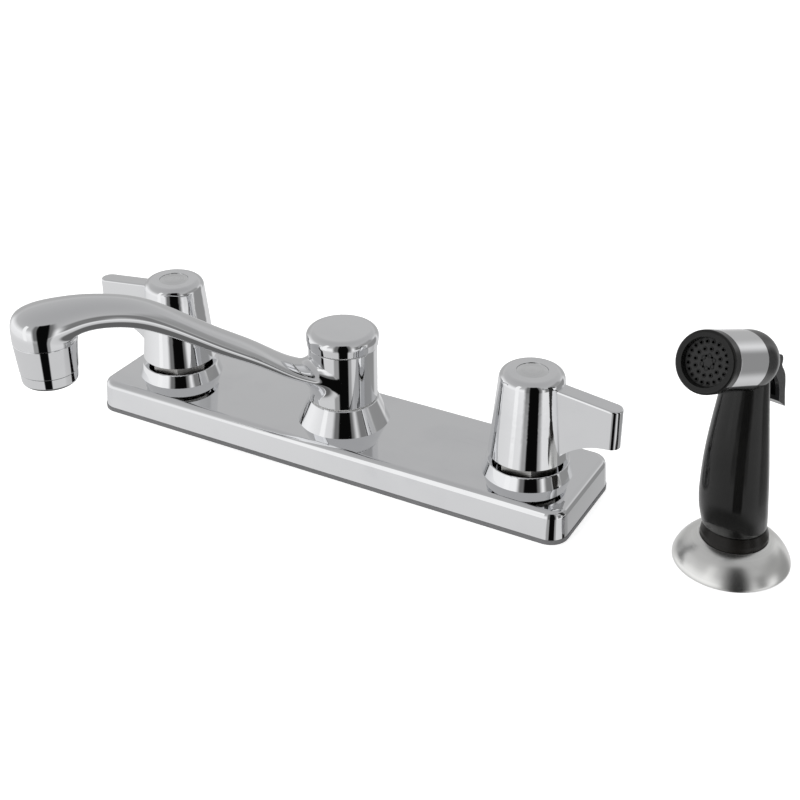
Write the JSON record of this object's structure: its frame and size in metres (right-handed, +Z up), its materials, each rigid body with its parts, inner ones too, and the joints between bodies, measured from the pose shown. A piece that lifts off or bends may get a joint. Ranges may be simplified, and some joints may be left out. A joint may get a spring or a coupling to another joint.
{
  "type": "two handle kitchen faucet",
  "caption": "Kitchen faucet on a deck plate with lever valves, a swivelling spout and a side sprayer that lifts out of its own deck holder.",
  "frame": {"origin": "middle of the deck plate's seat on the sink, on the spout's turning axis", "axes": "+X towards the cold valve and the side sprayer, -Y towards the user, +Z up along the spout's turning axis"},
  "size_m": [0.3768, 0.1553, 0.1775],
  "materials": {
    "black_plastic": "glossy black moulding",
    "black_rubber": "moulded rubber",
    "brass": "machined brass",
    "charcoal_plastic": "glossy charcoal moulding",
    "chrome": "polished chrome plate",
    "copper": "drawn copper tube",
    "grey_plastic": "moulded nylon",
    "grey_rubber": "sheet rubber",
    "satin_nickel": "satin plated ring",
    "steel": "stainless steel",
    "white_ceramic": "lapped alumina ceramic",
    "white_plastic": "moulded acetal"
  },
  "bodies": {
    "root": {"base_gasket": "grey_rubber", "deck_plate": "chrome", "hot_valve_body": "brass", "hot_seat_seal": "black_rubber", "hot_fixed_disc": "white_ceramic", "hot_cartridge": "brass", "hot_bonnet_nut": "charcoal_plastic", "hot_mounting_nut": "brass", "hot_waterway_tube": "copper", "cold_valve_body": "brass", "cold_seat_seal": "black_rubber", "cold_fixed_disc": "white_ceramic", "cold_cartridge": "brass", "cold_bonnet_nut": "charcoal_plastic", "cold_mounting_nut": "brass", "cold_waterway_tube": "copper", "spout_post": "brass", "spout_seal_rings": "black_rubber", "spout_washers": "white_plastic", "spout_cap": "chrome", "holder_flange": "satin_nickel", "holder_cup": "black_plastic", "holder_nut": "grey_plastic"},
    "hot_handle": {"hot_handle": "chrome", "hot_handle_screw": "steel", "hot_index_button": "chrome", "hot_stem": "brass", "hot_turning_disc": "white_ceramic"},
    "cold_handle": {"cold_handle": "chrome", "cold_handle_screw": "steel", "cold_index_button": "chrome", "cold_stem": "brass", "cold_turning_disc": "white_ceramic"},
    "spout": {"spout": "chrome", "outlet_shell": "chrome", "aerator_ring": "chrome", "aerator_insert": "white_plastic", "aerator_washer": "black_rubber"},
    "diverter": {"spray_diverter": "white_plastic"},
    "sprayer": {"wand_body": "black_plastic", "head_collar": "chrome", "head_bezel": "black_plastic", "spray_face": "black_rubber", "hose_coupling": "brass", "trigger_pin": "steel", "valve_sleeve": "white_plastic", "plunger_spring": "steel"},
    "trigger": {"trigger": "charcoal_plastic"},
    "plunger": {"valve_plunger": "white_plastic"}
  },
  "joints": [
    {"name": "hot_valve_turn", "type": "hinge", "parent": "root", "child": "hot_handle", "pos_m": [-0.1016, 0, 0], "axis": [0, 0, 1], "range_deg": [0, 90]},
    {"name": "cold_valve_turn", "type": "hinge", "parent": "root", "child": "cold_handle", "pos_m": [0.1016, 0, 0], "axis": [0, 0, -1], "range_deg": [0, 90]},
    {"name": "spout_swivel", "type": "hinge", "parent": "root", "child": "spout", "pos_m": [0, 0, 0], "axis": [0, 0, 1], "continuous": true},
    {"name": "diverter_lift", "type": "slide", "parent": "root", "child": "diverter", "axis": [0, 0, 1], "range_m": [0, 0.003]},
    {"name": "spray_lift", "type": "slide", "parent": "root", "child": "sprayer", "axis": [0, 0, 1], "range_m": [0, 0.12]},
    {"name": "spray_trigger", "type": "hinge", "parent": "sprayer", "child": "trigger", "pos_m": [0.20415, 0.00491, 0.0993], "axis": [-0.9816, 0.1908, 0], "range_deg": [0, 12], "stiffness_Nm_per_rad": 0.35},
    {"name": "plunger_slide", "type": "slide", "parent": "sprayer", "child": "plunger", "axis": [-0.1908, -0.9816, 0], "range_m": [0, 0.0029], "deforming": ["plunger_spring"]}
  ],
  "couplings": [
    {"joint": "plunger_slide", "follows": "spray_trigger", "m_per_rad": 0.0129}
  ]
}
